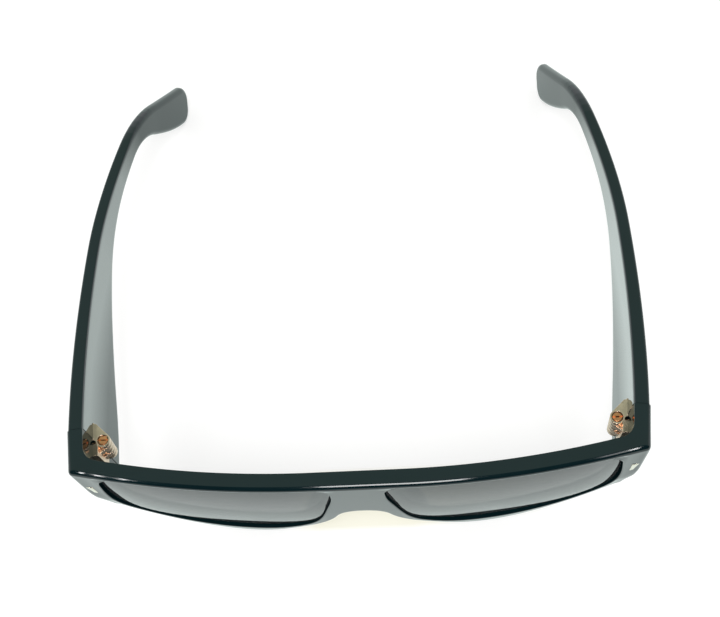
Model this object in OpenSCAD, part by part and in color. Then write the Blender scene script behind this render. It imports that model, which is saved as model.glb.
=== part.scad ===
// Square aviator sunglasses: a bent acetate front, two tapered temples,
// two lenses, five-knuckle hinges, core wires, nose pads and corner plaques.
// Millimetres. X to the wearer's side, Y back along the temples, Z up.
// The glasses stand on the table on the lower rims and the temple tips.

/* [Front] */
// Width over the end pieces where they meet the temples.
front_w = 140.2; // [130:0.2:150]
// Height of the front, from the lower rims to the flat top.
front_h = 45; // [42:0.2:49]
// Thickness of the acetate sheet the front is cut from.
front_t = 4.5; // [4.2:0.1:5]
// Radius the sheet is bent to on each side of the flat middle.
front_r = 248; // [220:1:300]
// Half width of the flat middle part, at the bridge.
flat_half = 10.5; // [9:0.1:12]
// How far the lower rims stand behind the top edge.
front_lean = 5.2; // [4:0.1:6.5]
// Radius on the front and rear edges of the acetate.
edge_r = 0.9; // [0.6:0.05:1]
// Height of the bridge, from the flat top to the nose arch.
bridge_h = 22.4; // [20:0.1:25]
// Half width of the nose arch just under its crown.
arch_half = 6.4; // [5.6:0.1:7]

/* [End pieces] */
// How far the joint line stands behind the front face at the bridge.
joint_y = 18; // [17:0.1:19]
// Thickness of an end piece.
lug_t = 4.1; // [3.9:0.05:4.4]
// Height of an end piece and of the temple beside it.
lug_h = 25.3; // [24:0.1:26.5]
// Direction of the end piece, measured from the front.
lug_a = 83; // [82:0.5:85]
// Inward lean of the end piece and of the temple's first part.
lug_cant = 6; // [5:0.5:6.5]
// Radius of the outer upright corner.
corner_r = 1.4; // [1.2:0.1:2.4]
// How far the end piece's outer face falls back towards its top edge.
crown_w = 1.1; // [0.9:0.05:1.3]
// Height over which it falls back.
crown_h = 8; // [5:0.5:9]
// Length of the lower curve that runs out under an end piece.
lug_fillet = 3.1; // [2.4:0.1:4]
// Radius of the inner upright corner.
fillet_r = 4.2; // [4:0.1:5]

/* [Lenses] */
// Half of the bridge between the two lens openings at the top.
eye_in = 6.5; // [6:0.1:7.5]
// Width of the front between a lens opening and the outer corner.
rim_side = 6; // [5.6:0.1:7]
// Height of the front over the lens openings.
rim_top = 2.8; // [2.4:0.1:3.4]
// Height of the rim under a lens opening.
rim_low = 5.6; // [5:0.1:6.4]
// Thickness of a lens.
lens_t = 1.9; // [1.6:0.1:2.1]
// How far the lens face lies behind the front face.
lens_inset = 1.2; // [1:0.05:1.4]
// How far the lens enters its groove.
lens_bite = 0.9; // [0.7:0.05:1]
// Clearance between a lens and its groove.
lens_gap = 0.03; // [0.02:0.01:0.06]

/* [Temples] */
// Length of a temple measured along its top edge.
temple_l = 146.8; // [140:0.2:152]
// Thickness of a temple at the joint.
temple_t0 = 3.8; // [3.6:0.05:4]
// Thickness of a temple from its middle to the tip.
temple_t1 = 3.4; // [3.2:0.05:3.6]
// Step from the end piece in to the temple's outer face.
temple_step = 0.4; // [0.2:0.05:0.6]
// Gap between the end piece and the temple when open.
joint_gap = 0.15; // [0.1:0.01:0.2]
// How far the temple has bowed out at bow_s.
temple_bow = 3.1; // [2.6:0.1:3.6]
// Place of the widest point, as a share of the temple's length.
bow_at = 0.39; // [0.32:0.01:0.44]
// How far the tip has turned in from the joint.
tip_in = 10; // [9:0.1:12]
// Fall of the straight part of the temple.
fall_a = 7.4; // [6.4:0.1:8.4]
// Place of the ear bend, as a share of the temple's length.
bend_at = 0.66; // [0.64:0.005:0.68]
// Radius of the ear bend along the top edge.
bend_r = 45; // [40:0.5:50]
// Height of the temple at its waist.
waist_h = 5.8; // [5.4:0.1:7.5]
// Height of the paddle at the tip.
tip_h = 11.8; // [11:0.1:12.5]
// Corner radius of the tip, seen from the side.
tip_r = 4; // [3:0.1:4.6]
// Inward lean of the temple behind its middle.
rear_cant = 4.5; // [1:0.5:5]
// How quickly the temple's height falls off behind the joint.
taper = 1.18; // [1:0.02:1.4]
// Length over which the waist widens to the paddle.
paddle_l = 43; // [38:0.5:46]
// Fall of the paddle behind the ear bend.
tip_a = 37; // [34:0.5:42]
// Rounding of the tip, seen from above.
tip_round = 1.4; // [1:0.1:1.6]

/* [Hinges] */
// Distance of the hinge axis in from the end piece's outer face.
axis_in = 7.3; // [7.15:0.05:7.5]
// Top of the hinge barrel below the top edge.
barrel_drop = 6.8; // [6.5:0.1:7.2]
// Outer radius of the barrel.
barrel_r = 1.3; // [1.25:0.05:1.35]
// Height of one of the five knuckles.
knuckle_h = 1.5; // [1.4:0.05:1.6]
// Gap between two knuckles.
knuckle_gap = 0.06; // [0.05:0.01:0.08]
// Thickness of a hinge plate.
plate_t = 1.1; // [1:0.05:1.2]
// How deep a hinge plate is sunk into the acetate.
plate_sunk = 0.7; // [0.6:0.05:0.8]
// Start of the plate on the temple behind the joint.
plate_back = 0.9; // [0.7:0.05:1.1]
// End of the plate on the end piece before the joint.
plate_lead = 0.9; // [0.7:0.05:1.1]
// Length of the plate on the temple.
plate_len = 4; // [3.8:0.1:6]
// Length of the plate on the end piece.
plate_front = 3.2; // [3:0.1:3.3]
// Radius of an anchor stud behind a plate.
stud_r = 0.6; // [0.5:0.05:0.65]
// Length of an anchor stud behind a plate.
stud_len = 1.4; // [1.2:0.1:1.6]

/* [Screws] */
// Radius of the hinge screw's shank.
screw_r = 0.6; // [0.55:0.01:0.65]
// Radius of the hinge screw's head.
head_r = 1.05; // [1:0.01:1.1]
// Height of the hinge screw's head.
head_h = 0.7; // [0.6:0.05:0.8]
// Running clearance of the screw in the front knuckles.
run_gap = 0.03; // [0.02:0.01:0.05]
// Width of the driver slot.
slot_w = 0.35; // [0.3:0.01:0.4]
// Depth of the driver slot.
slot_d = 0.35; // [0.3:0.01:0.4]

/* [Core wires] */
// Radius of the wire inside each temple.
wire_r = 0.7; // [0.6:0.05:0.8]
// Where the wire starts behind the temple's front end.
wire_start = 0.6; // [0.4:0.1:2]
// Depth of the wire below the top edge, where the temple is high.
wire_drop = 6; // [5:0.25:6.25]
// Clearance around the wire in its channel.
wire_gap = 0.02; // [0.02:0.01:0.04]
// Where the wire ends before the temple's tip.
wire_end = 18; // [14:0.5:30]

/* [Plaques] */
// Width of a corner plaque.
plaque_w = 2.3; // [2:0.1:2.4]
// Height of a corner plaque.
plaque_h = 4.8; // [4:0.1:5]
// How far a plaque stands out of the acetate.
plaque_out = 0.3; // [0.2:0.05:0.4]
// How deep a plaque is let in.
plaque_sunk = 0.3; // [0.2:0.05:0.4]
// Distance of a plaque's centre in from the start of the corner.
plaque_in = 1.4; // [1.2:0.05:1.5]
// Distance of a plaque's centre below the flat top.
plaque_drop = 13; // [11:0.1:16]
// Radius of a plaque's pin.
pin_r = 0.45; // [0.4:0.05:0.5]
// Length of a plaque's pin.
pin_len = 1.6; // [1.4:0.1:1.8]

/* [Nose pads] */
// Width of a nose pad.
pad_w = 4.6; // [4.2:0.1:5]
// How far a nose pad stands behind the front.
pad_out = 4.8; // [4:0.1:5.5]
// Length of a nose pad.
pad_l = 16; // [14:0.2:17]
// Top of a nose pad below the crown of the arch.
pad_drop = 3.4; // [2.6:0.1:4.4]
// Top of a nose pad out from the side of the arch.
pad_side = 2; // [1.4:0.1:2.6]
// Slant of a nose pad, from upright.
pad_tilt = 28; // [24:0.5:32]

/* [Colours] */
// Black acetate.
acetate_c = "#1e2a32"; // color
// Tinted lens.
lens_c = "#6f757a"; // color
// Hinge metal.
metal_c = "#c9b07a"; // color
// Screw metal.
screw_c = "#b9793c"; // color
// Steel core wire.
wire_c = "#9aa0a5"; // color

/* [Hidden] */
$fn = 48;
rad = PI / 180;
// Clearance between a fitting and its seat in the acetate.
seat_gap = 0.02;
// Reach of a cutter past what it cuts.
past = 3;
// Depth of the guide slabs behind the front, more than the sheet can bend.
slab = front_w / 2;
lug_z = front_h - lug_h;
arch_z = front_h - bridge_h;
arc_c = [flat_half, front_r];
side_d = [cos(lug_a), sin(lug_a)];
side_n = [-sin(lug_a), cos(lug_a)];
joint_pt = [front_w / 2, joint_y];
lean_a = atan(front_lean / front_h);
cant_t = tan(lug_cant);
open_slope = tan(90 - lug_a);
barrel_h = 5 * knuckle_h + 4 * knuckle_gap;
barrel_z = front_h - barrel_drop - barrel_h;
barrel_mid = barrel_z + barrel_h / 2;
axis_x = front_w / 2 - axis_in;
axis_y = joint_y + joint_gap / 2;

// Plan of the bent front, seen from above.
// Centre of a corner arc: o inside the sheet's face, s inside the side.
function corner_c(o, s, r) =
  let (p = joint_pt + (s + r) * side_n, q = p - arc_c)
  let (k = front_r - o - r, b = q * side_d)
  p - (b + sqrt(b * b - q * q + k * k)) * side_d;
function turn(c) = atan2(c[0] - arc_c[0], arc_c[1] - c[1]);
function ray(a) = [sin(a), -cos(a)];
out_c = corner_c(0, 0, corner_r);
in_c = corner_c(front_t, lug_t, fillet_r);
out_a = turn(out_c);
in_a = turn(in_c);
u_in = flat_half + front_r * in_a * rad;
u_out = flat_half + front_r * out_a * rad;
u_side = u_out + corner_r * (lug_a - out_a) * rad;
out_e = out_c + corner_r * ray(lug_a);
in_e = in_c + fillet_r * ray(lug_a);
u_flat = u_side + (in_e - out_e) * side_d;
u_end = u_side + (joint_pt - out_e) * side_d;
// Point of the bent sheet at the flat length u, d behind its face.
function sheet(u, d) = u < flat_half ? [u, d]
  : arc_c + (front_r - d) * ray((u - flat_half) / front_r / rad);
function outer(u) = u < u_out ? sheet(u, 0)
  : u < u_side ? out_c + corner_r * ray(out_a + (u - u_out) / corner_r / rad)
  : out_e + (u - u_side) * side_d;
function inner(u) = u < u_in ? sheet(u, front_t)
  : u < u_flat ? in_c + fillet_r * ray(in_a + (lug_a - in_a) * (u - u_in) / (u_flat - u_in))
  : in_e + (u - u_flat) * side_d;
function ease(t) = t < 0 ? 0 : t > 1 ? 1 : t * t * (3 - 2 * t);

// Curves through joined Bezier pieces.
function bez(a, b, c, d, t) = let (s = 1 - t)
  s * s * s * a + 3 * s * s * t * b + 3 * s * t * t * c + t * t * t * d;
function bezd(a, b, c, d, t) = let (s = 1 - t)
  s * s * (b - a) + 2 * s * t * (c - b) + t * t * (d - c);
function curve(c, n) = [for (i = [0:n - 1]) bez(c[0], c[1], c[2], c[3], i / n)];
function curved(c, n) = [for (i = [0:n - 1]) bezd(c[0], c[1], c[2], c[3], i / n)];
function join(a) = [for (b = a) each b];

// Lower outline of the front, laid out flat, right half. Its handles are
// shares of the arch, of the half front and of the end piece's level.
arch_lo = [arch_half, 0.79 * arch_z];
rim_lo = [0.428 * u_side, 0];
rim_up = [u_side - 0.42 * lug_fillet, lug_z - 0.87 * lug_fillet];
lug_lo = [u_side + lug_fillet, lug_z];
low = [
  [[0, arch_z], [0.5 * arch_half, arch_z], [0.82 * arch_half, 0.935 * arch_z], arch_lo],
  [arch_lo, [1.3 * arch_half, 0.53 * arch_z], [0.257 * u_side, 0], rim_lo],
  [rim_lo, [0.62 * u_side, 0], [0.872 * u_side, 0.7 * lug_z], rim_up],
  [rim_up, [u_side - 0.13 * lug_fillet, lug_z - 0.26 * lug_fillet],
    [u_side + 0.23 * lug_fillet, lug_z], lug_lo]];
low_n = [6, 14, 20, 5];
low_p = concat(join([for (i = [0:3]) curve(low[i], low_n[i])]),
  [lug_lo, [(lug_lo[0] + u_end) / 2, lug_z], [u_end, lug_z]]);
low_d = concat(join([for (i = [0:3]) curved(low[i], low_n[i])]),
  [[1, 0], [1, 0], [1, 0]]);

// Opening for a lens, laid out flat, right half, as shares of its width
// and height from its lower inner corner.
eye_out = u_side - rim_side;
eye_w = eye_out - eye_in;
eye_h = front_h - rim_top - rim_low;
function at_eye(x, y) = [eye_in + x * eye_w, rim_low + y * eye_h];
eye_1 = at_eye(0.063, 1);
eye_2 = at_eye(0.904, 0.997);
eye_3 = at_eye(0.988, 0.828);
eye_4 = at_eye(0.958, 0.339);
eye_5 = at_eye(0.336, 0);
eye_6 = at_eye(0.019, 0.653);
eye_7 = at_eye(0, 0.902);
eye = [
  [eye_1, at_eye(0.341, 1.005), at_eye(0.626, 1.005), eye_2],
  [eye_2, at_eye(0.963, 0.997), at_eye(0.983, 0.934), eye_3],
  [eye_3, at_eye(1.002, 0.637), at_eye(1.009, 0.475), eye_4],
  [eye_4, at_eye(0.878, 0.131), at_eye(0.571, 0), eye_5],
  [eye_5, at_eye(0.085, 0), at_eye(0.07, 0.325), eye_6],
  [eye_6, at_eye(0.0035, 0.762), at_eye(0, 0.8), eye_7],
  [eye_7, at_eye(0, 0.967), at_eye(0.021, 1), eye_1]];
eye_n = [10, 8, 12, 20, 18, 6, 8];
eye_p = join([for (i = [0:6]) curve(eye[i], eye_n[i])]);
eye_d = join([for (i = [0:6]) curved(eye[i], eye_n[i])]);
function eye_at(o) = [for (i = [0:len(eye_p) - 1])
  let (d = eye_d[i]) eye_p[i] + o * [-d[1], d[0]] / norm(d)];

// Skins of lofted solids.
// Rings r of k points; the first and last are closed by flat ends.
module loft(r) {
  n = len(r);
  k = len(r[0]);
  polyhedron(
    points = join(r),
    faces = concat(
      [[for (i = [0:k - 1]) i]],
      [[for (i = [k - 1:-1:0]) (n - 1) * k + i]],
      [for (j = [0:n - 2], i = [0:k - 1], s = [0, 1])
        let (a = j * k + i, b = j * k + (i + 1) % k)
        s == 0 ? [a, a + k, b + k] : [a, b + k, b]]));
}
quarter = [0, 30, 60, 90];
// Rounded rectangle as [across, down], t by h, edges r across and q down,
// its first edge rounded by the size e.
function round_ring(t, h, r, q, e) = concat(
  [for (a = quarter) [e[0] * (1 - sin(a)), e[1] * (1 - cos(a))]],
  [for (a = quarter) [r * (1 - cos(a)), h - q * (1 - sin(a))]],
  [for (a = quarter) [t - r * (1 - sin(a)), h - q * (1 - cos(a))]],
  [for (a = quarter) [t - r * (1 - cos(a)), r * (1 - sin(a))]]);

// The front. Where its lower edge climbs, the rounding is longer upright.
steep = 3.2;
function front_ring(i, m) =
  let (u = low_p[i][0], a = outer(u), b = inner(u), d = low_d[i])
  let (t = norm(b - a), w = (b - a) / t)
  let (q = edge_r * min(steep, sqrt(1 + pow(d[1] / max(d[0], 0.01), 2))))
  let (f = ease((u - u_in) / (u_flat - u_in)), g = ease((u - u_out) / (u_side - u_out)))
  let (e = [edge_r + g * (crown_w - edge_r), edge_r + g * (crown_h - edge_r)])
  [for (p = round_ring(t, front_h - low_p[i][1], edge_r, q, e))
    let (o = a + w * p[0])
    [m * (o[0] - f * cant_t * p[1]), o[1] + (1 - f) * front_lean * p[1] / front_h, front_h - p[1]]];
module front_blank() {
  n = len(low_p) - 1;
  loft(concat([for (i = [n:-1:1]) front_ring(i, -1)],
    [for (i = [0:n]) front_ring(i, 1)]));
}
// Everything behind the bent face, d inside it, seen from above.
module behind(d) {
  translate([-flat_half, d])
    square([2 * flat_half, slab]);
  for (m = [0, 1])
    mirror([m, 0])
      translate([flat_half, 0])
        intersection() {
          translate([0, front_r])
            circle(r = front_r - d, $fn = 360);
          square([front_w, slab]);
        }
}
// Bent sheet from d0 to d1 behind the face, leaning like the front.
module bent(d0, d1) {
  translate([0, 0, front_h])
    rotate([lean_a, 0, 0])
      translate([0, 0, -front_h - 2 * past])
        linear_extrude(front_h + 4 * past)
          difference() {
            behind(d0);
            behind(d1);
          }
}
// Prism through an opening's outline, grown by o, true at the depth d.
module eye_prism(o, d) {
  translate([0, slab, 0])
    rotate([90, 0, 0])
      linear_extrude(slab + past)
        polygon([for (p = eye_at(o)) [sheet(p[0], d)[0], p[1]]]);
}
module lens_shape(bite, gap) {
  d0 = lens_inset - gap;
  d1 = lens_inset + lens_t + gap;
  intersection() {
    bent(d0, d1);
    eye_prism(bite + gap, (d0 + d1) / 2);
  }
}
module front_frame() {
  color(acetate_c)
    difference() {
      front_blank();
      for (m = [0, 1])
        mirror([m, 0, 0]) {
          eye_prism(0, front_t / 2);
          lens_shape(lens_bite, lens_gap);
          leaf_seat(plate_front, -1);
          plaque_seat();
        }
    }
}
module lens() {
  color(lens_c)
    lens_shape(lens_bite, 0);
}

// The temple, right side. s runs along its top edge from the joint.
temple_y0 = joint_y + joint_gap;
temple_x0 = front_w / 2 - temple_step;
bow_s = bow_at * temple_l;
bend_s = bend_at * temple_l;
bend_len = bend_r * (tip_a - fall_a) * rad;
// Parts of the length over which the lean sets in, and the sheet thins.
lean_s = 0.2 * temple_l;
thin_s = 0.41 * temple_l;
// The tip's last direction in plan, across per length.
tip_slope = -0.15;
function fall(s) = fall_a + (tip_a - fall_a) * min(1, max(0, (s - bend_s) / bend_len));
function herm(t, l, p0, m0, p1, m1) = (2 * t * t * t - 3 * t * t + 1) * p0
  + (t * t * t - 2 * t * t + t) * l * m0
  + (3 * t * t - 2 * t * t * t) * p1 + (t * t * t - t * t) * l * m1;
function plan_x(s) = s < bow_s
  ? herm(s / bow_s, bow_s, temple_x0, open_slope, temple_x0 + temple_bow, 0)
  : herm((s - bow_s) / (temple_l - bow_s), temple_l - bow_s,
    temple_x0 + temple_bow, 0, temple_x0 - tip_in, tip_slope);
// Place of the top edge, y and z, at the length s.
function top_y(s) = s < bend_s ? s * cos(fall_a)
  : bend_s * cos(fall_a) + (s < bend_s + bend_len
  ? bend_r * (sin(fall(s)) - sin(fall_a))
  : bend_r * (sin(tip_a) - sin(fall_a)) + (s - bend_s - bend_len) * cos(tip_a));
function top_z(s) = s < bend_s ? -s * sin(fall_a)
  : -bend_s * sin(fall_a) - (s < bend_s + bend_len
  ? bend_r * (cos(fall_a) - cos(fall(s)))
  : bend_r * (cos(fall_a) - cos(tip_a)) + (s - bend_s - bend_len) * sin(tip_a));
function blade_h(s) = waist_h
  + (lug_h - waist_h) * pow((1 + cos(180 * min(1, s / bend_s))) / 2, taper)
  + (tip_h - waist_h) * ease((s - bend_s) / paddle_l);
function blade_t(s) = temple_t1 + (temple_t0 - temple_t1) * (1 - ease(s / thin_s));
// Point of the blade at s, w in from the outer face and h down; k scales its fall.
function blade_at(s, w, h, k) =
  let (e = 0.5, m = (plan_x(s + e) - plan_x(s - e)) / (top_y(s + e) - top_y(s - e)))
  let (mm = s < 2 * e ? open_slope : m, n = 1 / sqrt(1 + mm * mm))
  let (a = fall(s) * ease(s / lean_s))
  let (c = rear_cant + (lug_cant - rear_cant) * (1 - ease(s / thin_s)))
  [plan_x(s) - w * n - h * tan(c) - mm * sin(a) * h,
    temple_y0 + top_y(s) + w * n * mm - sin(a) * h,
    front_h + k * top_z(s) - cos(a) * h];
function tip_cut(e, r) = e < r ? r - sqrt(r * r - (r - e) * (r - e)) : 0;
function blade_ring(s, k) =
  let (e = temple_l - s + seat_gap, c = tip_cut(e, tip_r), d = tip_cut(e, tip_round))
  let (t = blade_t(s) - 2 * d, h = blade_h(s) - 2 * c, r = min(edge_r, t / 2.4))
  [for (p = round_ring(t, h, r, r, [r, r])) blade_at(s, p[0] + d, p[1] + c, k)];
// Rings: closer towards the joint, even to the bend, round it, and at the tip.
blade_s = concat(
  [for (i = [0:6]) lean_s * pow(i / 6, 1.3)],
  [for (i = [1:7]) lean_s + (bend_s - lean_s) * i / 8],
  [for (i = [0:12]) bend_s + (temple_l - 2 * tip_r - bend_s) * i / 12],
  [for (e = [1.5, 1, 0.62, 0.35, 0.16, 0.05, 0]) temple_l - e * tip_r]);
// The fall is scaled until the tips just stand on the table.
function low_z(k) = min([for (s = blade_s, p = blade_ring(s, k)) p[2]]);
fall_0 = -top_z(temple_l);
fall_1 = 1 + low_z(1) / fall_0;
fall_2 = fall_1 + low_z(fall_1) / fall_0;
fall_k = fall_2 + low_z(fall_2) / fall_0;
function blade(s, w, h) = blade_at(s, w, h, fall_k);
module blade_solid() {
  loft([for (s = blade_s) blade_ring(s, fall_k)]);
}
// Round rod along the inside of the blade.
function rod_h(s) = min(blade_h(s) / 2, wire_drop);
function rod_ring(s, r) =
  let (c = blade(s, blade_t(s) / 2, rod_h(s)), d = blade(s + 1, blade_t(s) / 2, rod_h(s + 1)) - c)
  let (v = d / norm(d), x = cross(v, [0, 0, 1]), a = x / norm(x), b = cross(a, v))
  [for (i = [0:9]) c + r * (cos(36 * i) * a - sin(36 * i) * b)];
module rod(list, r) {
  loft([for (s = list) rod_ring(s, r)]);
}
wire_n = 26;
wire_far = temple_l - wire_end;
wire_s = [for (i = [0:wire_n]) wire_start + (wire_far - wire_start) * i / wire_n];
// The channel opens at the temple's front end.
channel_s = concat([-1], [for (i = [0:wire_n - 1]) wire_s[i]], [wire_far + wire_gap]);
module temple() {
  color(acetate_c)
    difference() {
      blade_solid();
      rod(channel_s, wire_r + wire_gap);
      leaf_seat(plate_len, 1);
    }
}
module core_wire() {
  color(wire_c)
    rod(wire_s, wire_r);
}

// Hinges, right side.
// Frame of the inner face at the joint: x out of the acetate's face.
face_x = (joint_pt + lug_t * side_n)[0];
module on_face() {
  translate([face_x - cant_t * (front_h - barrel_mid), joint_y, barrel_mid])
    rotate([0, 0, lug_a - 90])
      rotate([0, lug_cant, 0])
        children();
}
// Start of a plate of this length behind (k = 1) or ahead (k = -1) of the joint.
function plate_y(len, k) = k > 0 ? plate_back : -len - plate_lead;
module plate_at(len, k, g, x0, x1) {
  on_face()
    translate([x0, plate_y(len, k) - g, -barrel_h / 2 - g])
      cube([x1 - x0, len + 2 * g, barrel_h + 2 * g]);
}
// Two studs: one over the other on the short plate, slanting on the long one.
module studs(len, k, g) {
  dy = (len - plate_front) * 0.4;
  on_face()
    for (s = [-1, 1])
      translate([plate_sunk - plate_t / 2, plate_y(len, k) + len / 2 + s * dy, s * barrel_h / 4])
        rotate([0, 90, 0])
          cylinder(r = stud_r + g, h = plate_t / 2 + stud_len + g, $fn = 24);
}
module leaf_seat(len, k) {
  plate_at(len, k, seat_gap, -past, plate_sunk + seat_gap);
  studs(len, k, seat_gap);
}
function knuckle_z(i) = barrel_z + i * (knuckle_h + knuckle_gap);
// Web from knuckle i to the plate, seen from above.
module web(i, k, len) {
  w = face_x - axis_x;
  far = k * (k > 0 ? plate_back + 0.9 * len : plate_lead + 0.8 * len);
  translate([axis_x, axis_y, knuckle_z(i)])
    linear_extrude(knuckle_h)
      polygon([
        [-barrel_r * 0.75, k * barrel_r * 0.62],
        [w - plate_t, far],
        [w + plate_sunk / 2, far],
        [w + plate_sunk / 2, k * barrel_r * 0.9],
        [barrel_r * 0.7, k * barrel_r * 0.2]]);
}
module knuckles(list) {
  for (i = list)
    translate([axis_x, axis_y, knuckle_z(i)])
      cylinder(r = barrel_r, h = knuckle_h);
}
module leaf(list, k, len, bore) {
  color(metal_c)
    difference() {
      union() {
        plate_at(len, k, 0, plate_sunk - plate_t, plate_sunk);
        studs(len, k, 0);
        knuckles(list);
        intersection() {
          for (i = list)
            web(i, k, len);
          plate_at(len + past, k, past / 2, -2 * past, (plate_sunk - plate_t) / 2);
        }
      }
      translate([axis_x, axis_y, barrel_z - past])
        cylinder(r = bore, h = barrel_h + 2 * past);
      if (k > 0)
        translate([axis_x, axis_y, barrel_z + barrel_h - head_h])
          cylinder(r = head_r + seat_gap, h = head_h + past);
    }
}
module front_hinge() {
  leaf([1, 3], -1, plate_front, screw_r + run_gap);
}
module temple_hinge() {
  leaf([0, 2, 4], 1, plate_len, screw_r + seat_gap / 2);
}
module hinge_screw() {
  color(screw_c)
    translate([axis_x, axis_y, barrel_z])
      difference() {
        union() {
          cylinder(r = screw_r, h = barrel_h - head_h / 2);
          translate([0, 0, barrel_h - head_h])
            cylinder(r = head_r, h = head_h);
        }
        translate([-past, -slot_w / 2, barrel_h - slot_d])
          cube([2 * past, slot_w, past]);
      }
}

// Corner plaques.
plaque_u = u_out - plaque_in;
plaque_z = front_h - plaque_drop;
module at_plaque() {
  p = outer(plaque_u);
  translate([p[0], p[1] + front_lean * plaque_drop / front_h, plaque_z])
    rotate([0, 0, (plaque_u - flat_half) / front_r / rad])
      rotate([lean_a, 0, 0])
        children();
}
module plaque_body(g, out) {
  at_plaque() {
    translate([-plaque_w / 2 - g, -out, -plaque_h / 2 - g])
      cube([plaque_w + 2 * g, out + plaque_sunk + g, plaque_h + 2 * g]);
    for (s = [-1, 1])
      translate([0, 0, s * plaque_h / 4])
        rotate([-90, 0, 0])
          cylinder(r = pin_r + g, h = plaque_sunk + pin_len + g, $fn = 24);
  }
}
module plaque_seat() {
  plaque_body(seat_gap, past);
}
module corner_plaque() {
  color(metal_c)
    plaque_body(0, plaque_out);
}

// Nose pads, along the nose side of each opening.
pad_a = [arch_half + pad_side, arch_z - pad_drop];
pad_b = pad_a + pad_l * [sin(pad_tilt), -cos(pad_tilt)];
pad_x = [cos(pad_tilt), sin(pad_tilt)];
// Depth of a pad's root inside the acetate, before the sheet is cut off it.
pad_root = 0.6;
function pad_ring(t) =
  let (c = pad_a + (pad_b - pad_a) * t, k = sqrt(max(0.03, sin(180 * t))))
  let (w = pad_w / 2 * k, h = pad_out * k)
  let (y0 = front_t - pad_root + front_lean * (front_h - c[1]) / front_h)
  [for (i = [0:10])
    let (a = 18 * i, q = c - pad_x * w * cos(a) * (1 - 0.15 * sin(a)))
    [q[0], y0 + (h + pad_root) * sin(a), q[1]]];
module nose_pad() {
  color(acetate_c)
    difference() {
      loft([for (t = [0.01, 0.05, 0.12, 0.22, 0.35, 0.5, 0.65, 0.78, 0.88, 0.95, 0.99])
        pad_ring(t)]);
      bent(-past, front_t + seat_gap / 2);
    }
}

// Place of the whole in its own frame.
depth_y = max([for (s = blade_s, p = blade_ring(s, fall_k)) p[1]]);
depth_0 = front_lean * edge_r / front_h;
module placed() {
  translate([0, -(depth_0 + depth_y) / 2, 0])
    children();
}
module left() {
  placed()
    mirror([1, 0, 0])
      children();
}

placed() front_frame();
left() lens();  // lens_left
placed() lens();  // lens_right
left() temple();  // temple_left
placed() temple();  // temple_right
left() core_wire();  // core_wire_left
placed() core_wire();  // core_wire_right
left() front_hinge();  // front_hinge_left
placed() front_hinge();  // front_hinge_right
left() temple_hinge();  // temple_hinge_left
placed() temple_hinge();  // temple_hinge_right
left() hinge_screw();  // hinge_screw_left
placed() hinge_screw();  // hinge_screw_right
left() corner_plaque();  // corner_plaque_left
placed() corner_plaque();  // corner_plaque_right
left() nose_pad();  // nose_pad_left
placed() nose_pad();  // nose_pad_right
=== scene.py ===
"""Square aviator sunglasses: the polished front, temples, lenses and fittings
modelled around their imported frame, with the table and the light they stand in."""

from math import atan, atan2, cos, pi, radians, sin, sqrt, tan

import bpy
from bpy.props import FloatProperty, FloatVectorProperty, PointerProperty
from bpy.types import Operator, Panel, PropertyGroup
from mathutils import Matrix, Vector


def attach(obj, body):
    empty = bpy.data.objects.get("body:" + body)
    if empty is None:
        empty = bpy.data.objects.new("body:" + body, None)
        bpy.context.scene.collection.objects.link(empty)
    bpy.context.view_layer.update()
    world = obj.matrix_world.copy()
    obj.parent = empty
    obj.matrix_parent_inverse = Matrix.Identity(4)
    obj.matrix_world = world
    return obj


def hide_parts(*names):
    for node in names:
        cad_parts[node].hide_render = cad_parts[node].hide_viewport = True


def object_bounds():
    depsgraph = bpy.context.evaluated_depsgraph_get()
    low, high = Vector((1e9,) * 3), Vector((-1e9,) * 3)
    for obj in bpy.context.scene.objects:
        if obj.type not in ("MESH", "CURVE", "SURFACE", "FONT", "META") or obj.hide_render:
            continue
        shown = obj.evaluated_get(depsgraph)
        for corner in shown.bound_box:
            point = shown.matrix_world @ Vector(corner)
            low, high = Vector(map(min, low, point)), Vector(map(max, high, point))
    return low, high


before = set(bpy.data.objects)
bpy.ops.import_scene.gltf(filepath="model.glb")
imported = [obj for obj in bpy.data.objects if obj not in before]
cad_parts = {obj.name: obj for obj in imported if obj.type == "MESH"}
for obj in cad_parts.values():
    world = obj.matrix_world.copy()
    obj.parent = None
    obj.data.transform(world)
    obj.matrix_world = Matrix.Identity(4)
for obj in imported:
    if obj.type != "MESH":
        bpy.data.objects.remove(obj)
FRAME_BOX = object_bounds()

bl_info = {
    "name": "Square aviator sunglasses",
    "version": (1, 0, 0),
    "blender": (4, 5, 0),
    "location": "View3D > Sidebar > Sunglasses",
    "description": "Models the finished pieces of a pair of square aviator sunglasses",
    "category": "Object",
}

MM = 0.001
SAME = 1e-6  # two places nearer than this are one
SHARP, SMOOTH = radians(30), radians(35)  # edges to round, and edges left crisp

# The photograph's view, solved from the object's edges; the angles are radians
IMAGE_WIDE, FOCAL_PIXELS = 720, 1177.35
PITCH, YAW, ROLL = 0.516, 0.0641, 0.052
CAMERA_PLACE = (0.0207046, -0.1750089, 0.3008427)

# The studio as gloss sees it, and as everything else does
SIDES, ABOVE, AHEAD = (0.90, 0.92, 0.94), (0.44, 0.55, 0.48), (0.03, 0.04, 0.05)
AMBIENT, WHITE, BLACK = (0.70, 0.70, 0.69), (1, 1, 1), (0, 0, 0)
# The table's glow, the cream shadow painted into it before the bridge, and how gloss sees it
GLOW, PAINTED_SHADOW, SHEEN = (0.60, 0.60, 0.60), (0.50, 0.48, 0.36), (0.42, 0.52, 0.50)

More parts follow.
